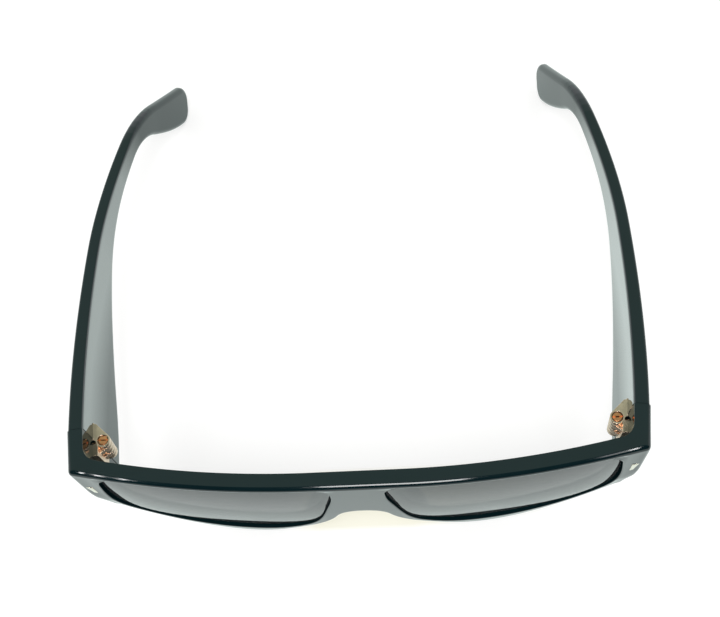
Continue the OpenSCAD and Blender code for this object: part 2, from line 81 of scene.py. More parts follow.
# Rows of strip lamps: name, places in the row, width, radiance, and the two ends of
# the first strip, then those of the last where the row has more than one
LAMPS = (
    ("Left strip", (0, 0.5, 1), 0.006, 50,
     (-0.4105, -0.2285, 0.7495), (-0.4705, -0.489, 0.594),
     (-0.347, -0.248, 0.7685), (-0.396, -0.519, 0.6145)),
    ("Front softbox", (0,), 0.17, 14, (-0.010, -0.283, 0.815), (-0.002, -0.578, 0.664)),
    ("Right softbox", (0,), 0.05, 3.5, (0.27, -0.249, 0.796), (0.327, -0.530, 0.643)),
    ("Right strip", (0, 0.55, 1), 0.006, 25,
     (0.294, -0.242, 0.792), (0.356, -0.521, 0.638),
     (0.310, -0.238, 0.789), (0.375, -0.515, 0.635)))

KNUCKLES = 5
# Play round the screw, and radii on the edges of the small metal parts
HEAD_PLAY, SHANK_PLAY = 0.14 * MM, 0.03 * MM
PLATE_EDGE, STUD_EDGE, KNUCKLE_EDGE = 0.12 * MM, 0.1 * MM, 0.09 * MM
HEAD_EDGE, SHANK_EDGE, SLOT_EDGE = 0.28 * MM, 0.1 * MM, 0.02 * MM
PLAQUE_EDGE, PIN_EDGE = 0.16 * MM, 0.08 * MM


def size(name, text, millimetres):
    return FloatProperty(name=name, description=text, default=millimetres * MM,
                         precision=5, unit="LENGTH")


def angle(name, text, deg):
    return FloatProperty(name=name, description=text, default=radians(deg),
                         subtype="ANGLE")


def share(name, text, value):
    return FloatProperty(name=name, description=text, default=value, precision=3,
                         subtype="FACTOR")


def colour(name, text, rgb):
    return FloatVectorProperty(name=name, description=text, default=rgb, size=3,
                               min=0.0, max=1.0, subtype="COLOR")


class FrontSizes(PropertyGroup):
    """The acetate front, its end pieces and its lenses."""
    width: size("Width", "Width over the end pieces at the joint", 140.2)
    height: size("Height", "From the lower rims to the flat top", 45)
    sheet: size("Sheet", "Thickness of the acetate sheet", 4.5)
    bend: size("Bend radius", "Radius of each side of the bent sheet", 248)
    flat_half: size("Flat half", "Half width of the flat middle", 10.5)
    lean: size("Lean", "How far the lower rims stand behind the top edge", 5.2)
    edge: size("Edge radius", "Radius on the long edges of the acetate", 0.9)
    brow: size("Brow radius", "Radius on the front's upper edge", 1.4)
    roll: size("Roll", "How far the rims roll back towards their foot", 0.8)
    roll_height: size("Roll height", "Height over which the rims roll back", 9)
    corner_roll: size("Corner roll", "How far the outer corners roll in at their foot", 1.7)
    corner_roll_height: size("Corner roll height", "Height over which they roll in", 13)
    rim_edge: size("Rim edge radius", "Radius on the edges of a lens opening", 0.3)
    joint_edge: size("Joint edge radius", "Radius on the edges at the joint", 0.12)
    crown: size("Crown", "How far an end piece falls back towards its top", 0.5)
    crown_height: size("Crown height", "Height over which it falls back", 4)
    bridge: size("Bridge", "From the flat top to the nose arch", 22.4)
    arch_half: size("Arch half", "Half width of the nose arch", 6.4)
    joint_y: size("Joint depth", "Joint line behind the front face", 18)
    lug: size("End piece thickness", "Thickness of an end piece", 4.1)
    lug_height: size("End piece height", "Height of an end piece", 25.3)
    lug_turn: angle("End piece direction", "Direction of the end piece", 83)
    lug_cant: angle("End piece lean", "Inward lean of the end piece", 6)
    corner: size("Outer corner", "Radius of the outer upright corner", 1.4)
    fillet: size("Inner corner", "Radius of the inner upright corner", 4.2)
    lug_fillet: size("Lower curve", "Length of the curve under an end piece", 3.1)
    eye_in: size("Opening, inner", "Half of the bridge between the openings", 6.5)
    rim_side: size("Rim, side", "Front between an opening and the corner", 6)
    rim_top: size("Rim, top", "Front over the lens openings", 2.8)
    rim_low: size("Rim, foot", "Rim under a lens opening", 5.6)
    lens: size("Lens thickness", "Thickness of a lens", 1.9)
    lens_inset: size("Lens inset", "Lens face behind the front face", 1.2)
    lens_bite: size("Lens bite", "How far the lens enters its groove", 0.9)
    lens_gap: size("Lens gap", "Clearance between a lens and its groove", 0.03)
    lens_edge: size("Lens edge", "Radius on the edges of a lens", 0.2)
    dish: size("Dish", "How far the face turns in above a lens", 0.42)
    dish_height: size("Dish height", "Height over which it turns in", 2.6)
    lens_crown: size("Lens crown", "How far a lens swells forward at its middle", 1.2)


class TempleSizes(PropertyGroup):
    """The two temples and their core wires."""
    length: size("Length", "Length along the top edge", 146.8)
    thick: size("Thickness at the joint", "Thickness at the joint", 3.8)
    thin: size("Thickness behind", "Thickness from the middle to the tip", 3.4)
    round: size("Tip rounding", "Radius on the edges behind the ear", 1.65)
    step: size("Step", "Step in from the end piece", 0.4)
    gap: size("Gap", "Gap between the end piece and the temple", 0.1)
    bow: size("Bow", "How far the temple bows out", 3.09)
    bow_at: share("Bow place", "Place of the widest point", 0.39)
    tip_in: size("Tip turn", "How far the tip has turned in", 10)
    fall: angle("Fall", "Fall of the straight part", 7.4)
    bend_at: share("Ear bend place", "Length of the straight part", 0.66)
    bend: size("Ear bend radius", "Radius of the ear bend along the top", 45)
    tip_fall: angle("Tip fall", "Fall of the part behind the ear", 37)
    waist: size("Waist", "Height of the temple at its waist", 5.8)
    taper: share("Taper", "How quickly the height falls off", 1.18)
    paddle: size("Paddle", "Length over which the waist widens", 43)
    tip_height: size("Tip height", "Height of the paddle at the tip", 11.8)
    tip_corner: size("Tip corner", "Corner radius of the tip", 4.8)
    rear_cant: angle("Rear lean", "Inward lean behind the middle", 4.5)


class FittingSizes(PropertyGroup):
    """Hinges, screws, plaques and nose pads."""
    axis_in: size("Hinge axis", "Hinge axis in from the outer face", 7.3)
    axis_back: size("Axis back", "Hinge axis behind the end piece's joint face", 0.075)
    barrel_drop: size("Barrel drop", "Top of the barrel below the top edge", 6.8)
    barrel: size("Barrel radius", "Outer radius of the barrel", 1.8)
    knuckle: size("Knuckle", "Height of one knuckle", 1.5)
    knuckle_gap: size("Knuckle gap", "Gap between two knuckles", 0.06)
    plate: size("Plate", "Thickness of a hinge plate", 1.1)
    plate_sunk: size("Plate depth", "How deep a plate is let in", 0.7)
    plate_stand: size("Front plate stand", "How far the front plate stands proud", 1.3)
    plate_off: size("Plate offset", "Plate's near end from the joint", 0.9)
    plate_rear: size("Rear plate", "Length of the plate on the temple", 4)
    plate_front: size("Front plate", "Length of the plate on the end piece", 3.2)
    stud: size("Stud", "Radius of a stud behind a plate", 0.6)
    stud_length: size("Stud length", "Length of a stud behind a plate", 1.4)
    screw: size("Screw", "Radius of the screw's shank", 0.6)
    head: size("Screw head", "Radius of the screw's head", 1.25)
    head_height: size("Head height", "Height of the screw's head", 0.7)
    slot: size("Driver slot", "Width and depth of the driver slot", 0.35)
    plaque_width: size("Plaque width", "Width of a corner plaque", 2.3)
    plaque_height: size("Plaque height", "Height of a corner plaque", 4.8)
    plaque_out: size("Plaque stand", "How far a plaque stands proud", 0.3)
    plaque_sunk: size("Plaque depth", "How deep a plaque is let in", 0.3)
    pin: size("Pin", "Radius of a pin behind a plaque", 0.45)
    pin_length: size("Pin length", "Length of a pin behind a plaque", 1.6)
    plaque_in: size("Plaque place", "Plaque in from the outer corner", 1.4)
    plaque_drop: size("Plaque drop", "Plaque's centre below the top", 13)
    pad_width: size("Pad width", "Width of a nose pad", 4.6)
    pad_length: size("Pad length", "Length of a nose pad", 16)
    pad_out: size("Pad stand", "How far a nose pad stands out", 4.8)
    pad_drop: size("Pad drop", "Top of a pad below the arch", 3.4)
    pad_side: size("Pad side", "Top of a pad out from the arch", 2)
    pad_tilt: angle("Pad slant", "Slant of a nose pad from upright", 28)


class Finishes(PropertyGroup):
    """Colours of the finishes and the stage."""
    acetate: colour("Acetate", "Body colour of the acetate", (0.002, 0.0095, 0.0115))
    lens_top: colour("Lens, top", "Lens tint at the top", (0.030, 0.031, 0.034))
    lens_foot: colour("Lens, foot", "Lens tint at the foot", (0.10, 0.102, 0.105))
    gold: colour("Gold", "Hinge metal", (0.98, 0.74, 0.56))
    pale_gold: colour("Pale gold", "Plaque metal", (0.98, 0.91, 0.76))
    copper: colour("Copper", "Screw metal", (1.0, 0.44, 0.20))
    steel: colour("Steel", "Core wire", (0.60, 0.61, 0.62))
    table: colour("Table", "Table top", (0.46, 0.46, 0.455))


# Curves and the plan of the bent front

def ease(t):
    t = min(1.0, max(0.0, t))
    return t * t * (3 - 2 * t)


def bezier(knots, counts):
    """Points along joined Bezier curves, each without its last point."""
    points = []
    for i, n in enumerate(counts):
        a, b, c, d = knots[3 * i:3 * i + 4]
        for t in (k / n for k in range(n)):
            s = 1 - t
            points.append(a * s ** 3 + b * 3 * s * s * t + c * 3 * s * t * t + d * t ** 3)
    return points


def grown(loop, by):
    """A closed outline moved outwards by a distance."""
    n = len(loop)
    moved = []
    for i in range(n):
        run = (loop[(i + 1) % n] - loop[i - 1]).normalized()
        moved.append(loop[i] + Vector((-run.y, run.x)) * by)
    return moved


def polar(a):
    return Vector((sin(a), -cos(a)))


class BentSheet:
    """The plan of the front: u runs along the bent sheet, d behind its face."""

    def __init__(self, s):
        self.s = s
        self.centre = Vector((s.flat_half, s.bend))
        self.run = Vector((cos(s.lug_turn), sin(s.lug_turn)))
        self.square = Vector((-self.run.y, self.run.x))
        self.joint = Vector((s.width / 2, s.joint_y))
        self.out_c = self._corner(0, 0, s.corner)
        self.in_c = self._corner(s.sheet, s.lug, s.fillet)
        self.out_a, self.in_a = self._turn(self.out_c), self._turn(self.in_c)
        self.u_in = s.flat_half + s.bend * self.in_a
        self.u_out = s.flat_half + s.bend * self.out_a
        self.u_side = self.u_out + s.corner * (s.lug_turn - self.out_a)
        self.out_e = self.out_c + s.corner * polar(s.lug_turn)
        self.in_e = self.in_c + s.fillet * polar(s.lug_turn)
        self.u_flat = self.u_side + (self.in_e - self.out_e).dot(self.run)
        self.u_end = self.u_side + (self.joint - self.out_e).dot(self.run)
        self.start = FRAME_BOX[0][1] - s.lean * s.edge / s.height
        self.foot = self.lower()

    def _corner(self, depth, wall, r):
        p = self.joint + self.square * (wall + r)
        q = p - self.centre
        k = self.s.bend - depth - r
        b = q.dot(self.run)
        return p - self.run * (b + sqrt(b * b - q.dot(q) + k * k))

    def _turn(self, c):
        return atan2(c.x - self.centre.x, self.centre.y - c.y)

    def _sheet(self, u, d):
        if u < self.s.flat_half:
            return Vector((u, d))
        return self.centre + (self.s.bend - d) * polar((u - self.s.flat_half) / self.s.bend)

    def outer(self, u):
        if u < self.u_out:
            return self._sheet(u, 0)
        if u < self.u_side:
            return self.out_c + self.s.corner * polar(
                self.out_a + (u - self.u_out) / self.s.corner)
        return self.out_e + self.run * (u - self.u_side)

    def inner(self, u):
        if u < self.u_in:
            return self._sheet(u, self.s.sheet)
        if u < self.u_flat:
            t = (u - self.u_in) / (self.u_flat - self.u_in)
            return self.in_c + self.s.fillet * polar(
                self.in_a + (self.s.lug_turn - self.in_a) * t)
        return self.in_e + self.run * (u - self.u_flat)

    def crowning(self, drop):
        """How much further than its rounded edge an end piece falls back."""
        s = self.s
        return s.crown * (1 - sqrt(1 - max(0, 1 - drop / s.crown_height) ** 2))

    def dishing(self, u, z):
        """How far the face turns in towards the upper edge of a lens."""
        s = self.s
        top, outer = s.height - s.rim_top, self.u_side - s.rim_side
        reach = ease((u - s.eye_in) / s.dish_height) * ease((outer - u) / s.dish_height)
        return s.dish * reach * max(0, 1 - abs(z - top) / s.dish_height) ** 2

    def lowest(self, u):
        """Height of the lower outline at a place along the sheet."""
        for a, b in zip(self.foot, self.foot[1:]):
            if u <= b.x:
                return a.y + (b.y - a.y) * (u - a.x) / max(b.x - a.x, 1e-9)
        return self.foot[-1].y

    def rolling(self, u, z):
        """How far the face of a rim has rolled back near its foot."""
        s, before = self.s, 3 * MM
        reach = ease((u - s.arch_half) / (2 * s.arch_half))
        corner = ease((u - self.u_out + before) / (self.u_side - self.u_out + before))
        corner *= 1 - ease((u - self.u_side) / (self.u_end - self.u_side))
        rise = z - self.lowest(u)
        return (s.roll * reach * max(0, 1 - rise / s.roll_height) ** 2
                + s.corner_roll * corner * max(0, 1 - rise / s.corner_roll_height) ** 2)

    def place(self, u, z, d):
        """A point of the flat sheet, bent into the front."""
        s, skin = self.s, 0.8 * MM
        lost = 0.75  # share of the crown that is gone at the joint
        side = -1 if u < 0 else 1
        u = abs(u)
        a, b = self.outer(u), self.inner(u)
        drop = s.height - z
        crowned = ease((u - self.u_out) / (self.u_side - self.u_out))
        crowned *= 1 - lost * max(0, u - self.u_side) / (self.u_end - self.u_side)
        back = crowned * self.crowning(drop) + self.rolling(u, z)
        d += back * (1 - d / s.sheet)
        d += self.dishing(u, z) * max(0, 1 - d / skin)
        p = a + (b - a) * (d / s.sheet)
        wrapped = ease((u - self.u_in) / (self.u_flat - self.u_in))
        return Vector((side * (p.x - wrapped * tan(s.lug_cant) * drop),
                       self.start + p.y + (1 - wrapped) * s.lean * drop / s.height, z))

    def stations(self, last):
        """Where the flat sheet is cut so that it bends smoothly."""
        step, clear, turns = 2.4 * MM, 0.2 * MM, 26
        cuts, u = [], 0.0
        while u < min(last, self.u_in - clear):
            cuts.append(u)
            u += step
        fine, u = (self.u_flat - self.u_in) / turns, self.u_in
        while u < min(last, self.u_flat + fine / 2):
            cuts.append(u)
            u += fine
        return cuts

    def lower(self):
        """Lower outline of the right half, from the arch to the joint."""
        s, us = self.s, self.u_side
        low, arch = s.height - s.lug_height, s.height - s.bridge
        half, run = s.arch_half, s.lug_fillet
        v = lambda x, y: Vector((x, y))
        knots = [v(0, arch), v(0.5 * half, arch), v(0.82 * half, 0.935 * arch),
                 v(half, 0.79 * arch), v(1.3 * half, 0.53 * arch), v(0.257 * us, 0),
                 v(0.428 * us, 0), v(0.62 * us, 0), v(0.872 * us, 0.7 * low),
                 v(us - 0.42 * run, low - 0.87 * run), v(us - 0.13 * run, low - 0.26 * run),
                 v(us + 0.23 * run, low), v(us + run, low)]
        return bezier(knots, (8, 18, 26, 8)) + [knots[-1], v(self.u_end, low)]

    def opening(self):
        """Outline of the right lens opening."""
        s = self.s
        wide = self.u_side - s.rim_side - s.eye_in
        high = s.height - s.rim_top - s.rim_low
        shares = ((0.063, 1), (0.341, 1.005), (0.626, 1.005), (0.904, 0.997),
                  (0.963, 0.997), (0.983, 0.934), (0.988, 0.828), (1.002, 0.637),
                  (1.009, 0.475), (0.958, 0.339), (0.878, 0.131), (0.571, 0), (0.336, 0),
                  (0.085, 0), (0.07, 0.325), (0.019, 0.653), (0.0035, 0.762), (0, 0.8),
                  (0, 0.902), (0, 0.967), (0.021, 1), (0.063, 1))
        return bezier([Vector((s.eye_in + x * wide, s.rim_low + y * high)) for x, y in shares],
                      (14, 10, 14, 26, 24, 8, 10))


class Blade:
    """The right temple: s runs along it, h down from its top edge, w inwards."""

    def __init__(self, front, t):
        self.f, self.t = front.s, t
        self.y0 = front.start + front.s.joint_y + t.gap
        self.x0 = front.s.width / 2 - t.step
        self.slope = tan(pi / 2 - front.s.lug_turn)
        self.curve = t.bend * (t.tip_fall - t.fall)
        self.bow, self.ear = t.bow_at * t.length, t.bend_at * t.length
        self.scale = 1.0
        for _ in range(3):  # until the tips stand on the table
            low = min(self.place(p.x, -p.y, w)[2] for p in self.outline()
                      if p.x > 0.8 * t.length for w in (0.3 * t.thin, 0.8 * t.thin))
            self.scale -= low / self.top(t.length)[1]

    def fall(self, s):
        t = self.t
        return t.fall + (t.tip_fall - t.fall) * min(1, max(0, (s - self.ear) / self.curve))

    def plan(self, s):
        """How far out the blade stands: from the joint to the bow, then to the tip."""
        t, tip_slope = self.t, -0.15
        if s < self.bow:
            a, b, m0, m1, p, k = self.x0, self.x0 + t.bow, self.slope, 0, 0, self.bow
        else:
            a, b, m0, m1, p, k = (self.x0 + t.bow, self.x0 - t.tip_in, 0, tip_slope,
                                  self.bow, t.length - self.bow)
        q = (s - p) / k
        return ((2 * q ** 3 - 3 * q * q + 1) * a + (q ** 3 - 2 * q * q + q) * k * m0
                + (3 * q * q - 2 * q ** 3) * b + (q ** 3 - q * q) * k * m1)

    def top(self, s):
        """How far back and up the top edge has run: straight, bent, then straight."""
        t, turn = self.t, self.fall(s)
        first, last = min(s, self.ear), max(0, s - self.ear - self.curve)
        return (first * cos(t.fall) + t.bend * (sin(turn) - sin(t.fall))
                + last * cos(t.tip_fall),
                -first * sin(t.fall) - t.bend * (cos(t.fall) - cos(turn))
                - last * sin(t.tip_fall))

    def height(self, s):
        t = self.t
        k = (1 + cos(pi * min(1, s / self.ear))) / 2
        return (t.waist + (self.f.lug_height - t.waist) * k ** t.taper
                + (t.tip_height - t.waist) * ease((s - self.ear) / t.paddle))

    def ahead(self, s):
        """1 at the joint, 0 from the middle on."""
        return 1 - ease(s / (0.41 * self.t.length))

    def thickness(self, s):
        t = self.t
        return t.thin + (t.thick - t.thin) * self.ahead(s)

    def place(self, s, h, w):
        """A point of the flat blade, bent into the temple."""
        t, e = self.t, 0.5 * MM
        back, up = self.top(s)
        slope = self.slope
        if s >= MM:
            slope = ((self.plan(s + e) - self.plan(s - e))
                     / (self.top(s + e)[0] - self.top(s - e)[0]))
        n = 1 / sqrt(1 + slope * slope)
        tilt = self.fall(s) * ease(s / (0.2 * t.length))
        cant = t.rear_cant + (self.f.lug_cant - t.rear_cant) * self.ahead(s)
        return Vector((self.plan(s) - w * n - h * tan(cant) - slope * sin(tilt) * h,
                       self.y0 + back + w * n * slope - sin(tilt) * h,
                       self.f.height + self.scale * up - cos(tilt) * h))

    def rounded(self, s, h, w):
        """The wide rounding of the flat blade's edges, drawn in before the ear bend."""
        t = self.t
        start, over = 0.58 * t.length, 0.22 * t.length
        k = self.f.edge / t.round
        k += (1 - k) * ease((s - start) / over)
        foot, r = self.height(s), t.round
        if h < r:
            h *= k
        elif foot - h < r:
            h = foot - (foot - h) * k
        if w < r:
            w *= k
        elif t.thick - w < r:
            w = t.thick - (t.thick - w) * k
        return s, h, w * self.thickness(s) / t.thick

    def outline(self):
        """Side outline as s and minus h, from the joint round the tip."""
        t = self.t
        r, end = t.tip_corner, t.length
        points, s = [], 2.5 * MM
        above, below = 3 * MM, 2 * MM  # steps along the two edges
        while s < end - r - MM:
            points.append(Vector((s, 0)))
            s += above
        foot, turn = -self.height(end), [radians(i * 10) for i in range(10)]
        points += [Vector((end - r + r * sin(a), -r + r * cos(a))) for a in turn]
        points += [Vector((end - r + r * cos(a), foot + r - r * sin(a))) for a in turn[1:9]]
        s = end - r
        while s > MM:
            points.append(Vector((s, -self.height(s))))
            s -= below
        return [Vector((0, 0))] + points + [Vector((0, -self.height(0)))]


# Working in edit mode

def clear_selection():
    for o in bpy.context.selected_objects:
        o.select_set(False)


def hold(obj):
    """Make one object the selected and active one."""
    clear_selection()
    obj.select_set(True)
    bpy.context.view_layer.objects.active = obj


def edit(obj, mode="EDGE"):
    hold(obj)
    bpy.ops.object.mode_set(mode="EDIT")
    bpy.ops.mesh.select_mode(type=mode)
    bpy.ops.mesh.select_all(action="DESELECT")


def leave():
    bpy.ops.object.mode_set(mode="OBJECT")


def pick(obj, kind, test, sharp=False):
    """Select the vertices, edges or faces that pass a test on their points."""
    if sharp:
        bpy.ops.mesh.edges_select_sharp(sharpness=SHARP)
    bpy.ops.object.mode_set(mode="OBJECT")
    mesh = obj.data
    before = [e.select for e in mesh.edges]
    for part in (mesh.polygons, mesh.edges, mesh.vertices):
        part.foreach_set("select", [False] * len(part))
    found = 0
    for item in getattr(mesh, kind):
        if sharp and not before[item.index]:
            continue
        item.select = test([mesh.vertices[i].co for i in item.vertices])
        found += item.select
    bpy.ops.object.mode_set(mode="EDIT")
    return found


def loop_of(points):
    """A circle primitive with its vertices laid on an outline."""
    clear_selection()
    bpy.ops.mesh.primitive_circle_add(vertices=len(points), radius=0.01)
    obj = bpy.context.object
    for v, p in zip(obj.data.vertices, points):
        v.co = (p[0], p[1], 0)
    return obj


def join_all(objs, name):
    clear_selection()
    for o in objs:
        o.select_set(True)
    bpy.context.view_layer.objects.active = objs[0]
    if len(objs) > 1:
        bpy.ops.object.join()
    obj = bpy.context.object
    obj.name = obj.data.name = name
    return obj


def face_out():
    """In edit mode, turn every face outwards."""
    bpy.ops.mesh.select_all(action="SELECT")
    bpy.ops.mesh.normals_make_consistent(inside=False)


def plate(name, outline, holes, thickness):
    """A flat plate of this outline, cut by its holes, standing on z = 0."""
    obj = join_all([loop_of(p) for p in [outline] + holes], name)
    edit(obj)
    bpy.ops.mesh.select_all(action="SELECT")
    if holes:
        bpy.ops.mesh.fill()
        bpy.ops.mesh.dissolve_limited(angle_limit=radians(0.05))
    else:
        bpy.ops.mesh.edge_face_add()
    bpy.ops.mesh.select_all(action="SELECT")
    bpy.ops.mesh.extrude_region_move(TRANSFORM_OT_translate={"value": (0, 0, thickness)})
    face_out()
    leave()
    return obj


def round_edges(obj, radius, segments, test):
    """Round the sharp edges that pass a test."""
    edit(obj)
    if not pick(obj, "edges", test, sharp=True):
        raise RuntimeError("no edge of %s passes the test" % obj.name)
    bpy.ops.mesh.bevel(offset=radius, segments=segments, profile=0.5,
                       clamp_overlap=False, loop_slide=False)
    leave()


def level_edge(*levels):
    """Test for an edge that lies flat at one of these levels."""
    return lambda pts: any(all(abs(p.z - at) < SAME for p in pts) for at in levels)


def sink_groove(obj, wall, low, high, depth):
    """Sink a groove between two levels into the walls that pass a test."""
    for at in (low, high):
        edit(obj, "FACE")
        pick(obj, "polygons", wall)
        bpy.ops.mesh.bisect(plane_co=(0, 0, at), plane_no=(0, 0, 1), threshold=1e-7)
        leave()
    edit(obj, "FACE")
    pick(obj, "polygons", lambda pts: wall(pts) and all(
        low - SAME < p.z < high + SAME for p in pts))
    bpy.ops.mesh.extrude_region_shrink_fatten(TRANSFORM_OT_shrink_fatten={"value": -depth})
    leave()


def slice_at(obj, cuts, axis=0):
    """Cut the whole mesh at planes square to an axis."""
    edit(obj)
    normal = [0, 0, 0]
    normal[axis] = 1
    for at in cuts:
        co = [0, 0, 0]
        co[axis] = at
        bpy.ops.mesh.select_all(action="SELECT")
        bpy.ops.mesh.bisect(plane_co=co, plane_no=normal, threshold=SAME)
    leave()


def bend_to(obj, place):
    """Move every vertex to its place on the object, and turn the faces out."""
    for v in obj.data.vertices:
        v.co = place(*v.co)
    edit(obj)
    face_out()
    leave()


def note_down(obj, name, domain, values):
    """Keep one value per point or face for the shader, through later cuts and bends."""
    kind = "BOOLEAN" if domain == "FACE" else "FLOAT"
    obj.data.attributes.new(name, kind, domain).data.foreach_set("value", values)


def smooth(obj, curved=False):
    """Smooth shading in which wide faces keep their own direction, unless they are curved."""
    hold(obj)
    bpy.ops.object.shade_smooth_by_angle(angle=SMOOTH)
    if curved:
        return
    weights = obj.modifiers.new("Wide faces", "WEIGHTED_NORMAL")
    weights.mode = "FACE_AREA"
    weights.keep_sharp = True
    weights.weight = 50
    bpy.ops.object.modifier_apply(modifier=weights.name)


def mirror_copy(obj, name):
    """The left piece of a pair, made from the right one before it is shaded."""
    clear_selection()
    other = obj.copy()
    other.data = obj.data.copy()
    other.name = other.data.name = name
    bpy.context.scene.collection.objects.link(other)
    bend_to(other, lambda x, y, z: (-x, y, z))
    return other


def turned_out(obj, matrix):
    """Lay a piece out by a matrix, with its place in its mesh."""
    bend_to(obj, lambda x, y, z: matrix @ Vector((x, y, z)))
    return obj


def block(low, high, edge, segments=3):
    """A block between two corners with rounded edges."""
    clear_selection()
    bpy.ops.mesh.primitive_cube_add(size=1)
    obj = bpy.context.object
    for v in obj.data.vertices:
        v.co = [a + (b - a) * (c + 0.5) for a, b, c in zip(low, high, v.co)]
    round_edges(obj, edge, segments, lambda pts: True)
    return obj


def peg(radius, start, end, edge, matrix=None, sides=32):
    """A round peg along Z between two heights, its end edges rounded."""
    clear_selection()
    bpy.ops.mesh.primitive_cylinder_add(vertices=sides, radius=radius, depth=end - start)
    obj = bpy.context.object
    for v in obj.data.vertices:
        v.co.z += (start + end) / 2
    round_edges(obj, edge, 2, level_edge(start, end))
    return turned_out(obj, matrix) if matrix else obj


def finish_piece(obj, body, slot, material, *nodes):
    obj.data.materials.clear()
    obj.data.materials.append(material)
    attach(obj, body)
    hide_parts(*nodes)


# Shader maths

class Shade:
    """A socket of a shader tree; arithmetic on it adds Math nodes."""

    def __init__(self, tree, socket=None):
        self.tree, self.socket = tree, socket

    def node(self, kind, settings=None, inputs=None, output=0):
        """Any node, by its type, settings, and values or links of its sockets."""
        made = self.tree.nodes.new("ShaderNode" + kind)
        for key, value in (settings or {}).items():
            setattr(made, key, value)
        for key, value in (inputs or {}).items():
            if isinstance(value, Shade):
                self.tree.links.new(value.socket, made.inputs[key])
            else:
                made.inputs[key].default_value = value
        return Shade(self.tree, made.outputs[output])

    def math(self, operation, a, b):
        return self.node("Math", {"operation": operation}, {0: a, 1: b})

    def __add__(self, other):
        return self.math("ADD", self, other)

    def __sub__(self, other):
        return self.math("SUBTRACT", self, other)

    def __rsub__(self, other):
        return self.math("SUBTRACT", other, self)

    def __mul__(self, other):
        return self.math("MULTIPLY", self, other)

    def __truediv__(self, other):
        return self.math("DIVIDE", self, other)

    def power(self, other):
        return self.math("POWER", self, other)

    def clamp(self):
        return self.node("Clamp", {}, {0: self})

    __radd__, __rmul__ = __add__, __mul__


def emptied(owner):
    """The shader tree of a material or world, without its nodes."""
    owner.use_nodes = True
    owner.node_tree.nodes.clear()
    return Shade(owner.node_tree)


def material(name):
    """A fresh material, its tree and its object coordinates."""
    m = bpy.data.materials.new(name)
    start = emptied(m)
    return m, start, start.node("TexCoord", output="Object")


def surface(owner, shader, kind="Material"):
    """Close the tree of a material or world with this shader."""
    out = shader.tree.nodes.new("ShaderNodeOutput" + kind)
    shader.tree.links.new(shader.socket, out.inputs["Surface"])
    return owner


def mixed(start, factor, a, b):
    """Two colours mixed by a value."""
    a, b = (c if isinstance(c, Shade) else (*c, 1) for c in (a, b))
    return start.node("Mix", {"data_type": "RGBA"}, {0: factor, 6: a, 7: b}, 2)


def toned(rgb, by):
    return tuple(c * by for c in rgb)


def rising(value, start, over):
    """0 up to a start, then up to 1 over a distance."""
    return ((value - start) / over).clamp()


def noted(start, name):
    """A value that note_down kept on the mesh."""
    return start.node("Attribute", {"attribute_name": name}, output=2)


def ray(start, *kinds):
    """1 where the ray is of one of these kinds."""
    seen = [start.node("LightPath", output="Is %s Ray" % kind) for kind in kinds]
    return sum(seen[1:], seen[0]).clamp()


def part_of(start, place, i):
    return start.node("SeparateXYZ", {}, {0: place}, output=i)


def noise(start, place, scale, detail):
    return start.node("TexNoise", {}, {"Vector": place, "Scale": scale, "Detail": detail})


def acetate(name, rgb, gloss=None):
    """Polished black acetate: deep colour, soft buffing marks, fine handling lines."""
    m, start, place = material(name)
    cloud = noise(start, place, 90, 3)
    streak = start.node("Mapping", {}, {"Vector": place, "Scale": (900, 60, 900)})
    buffed = noise(start, streak, 1, 2)
    fine = noise(start, place, 2600, 2)
    base = mixed(start, cloud, toned(rgb, 0.8), toned(rgb, 1.25))
    rough = 0.05 + 0.03 * cloud + 0.03 * (buffed - 0.5)
    bump = start.node("Bump", {}, {"Strength": 0.05, "Distance": 0.0001,
                                   "Height": 0.6 * cloud + 0.1 * buffed + 0.02 * fine})
    inputs = {"Base Color": base, "Roughness": rough, "IOR": 1.5, "Normal": bump}
    # Where given, a coat weight that varies by place paints a sheen onto the surface.
    if gloss:
        inputs.update({"Coat Weight": gloss(start), "Coat Roughness": 0.05, "Coat IOR": 2.3})
    dull = start.node("BsdfDiffuse", {}, {"Color": base})
    return surface(m, start.node("MixShader", {}, {
        0: noted(start, "wall"), 1: start.node("BsdfPrincipled", {}, inputs), 2: dull}))


def painted_inner_sheen(start):
    """A painted sheen on the inner side of a temple: coat weight, strongest along its upper edge
    and further back, that lightens that band.
    """
    drop, along, inward = (noted(start, name) for name in ("drop", "along", "inward"))
    inside = rising(inward, 3.1 * MM, 0.6 * MM)
    upper = 1 - rising(drop, 4 * MM, 12 * MM)
    behind = rising(along, 20 * MM, 50 * MM)
    before = 1 - rising(along, 85 * MM, 20 * MM)
    # The coat weight set by these masks is a painted sheen, not a lacquer the temple has.
    return inside * before * (0.15 + 0.85 * upper + 0.5 * behind).clamp()


def tinted_lens(top, foot, high, low):
    """A grey tint that fades towards the foot of the lens, with a painted reflection: a coat
    strongest at the foot that lightens it.
    """
    m, start, place = material("Tinted lens")
    t = rising(part_of(start, place, 2), low, high - low)
    graze = start.node("LayerWeight", {}, {"Blend": 0.5}, 1)
    return surface(m, start.node("BsdfPrincipled", {}, {
        "Base Color": mixed(start, t, foot, top),
        "Roughness": 0.03 + 0.02 * noise(start, place, 60, 2), "IOR": 1.5,
        "Alpha": 0.46 + 0.22 * t + 0.26 * graze,
        # The coat, strongest at the foot, is a painted reflection that lightens the lower part
        # of the lens.
        "Coat Weight": 0.8 * (1 - t).power(1.5), "Coat Roughness": 0.03, "Coat IOR": 1.5}))


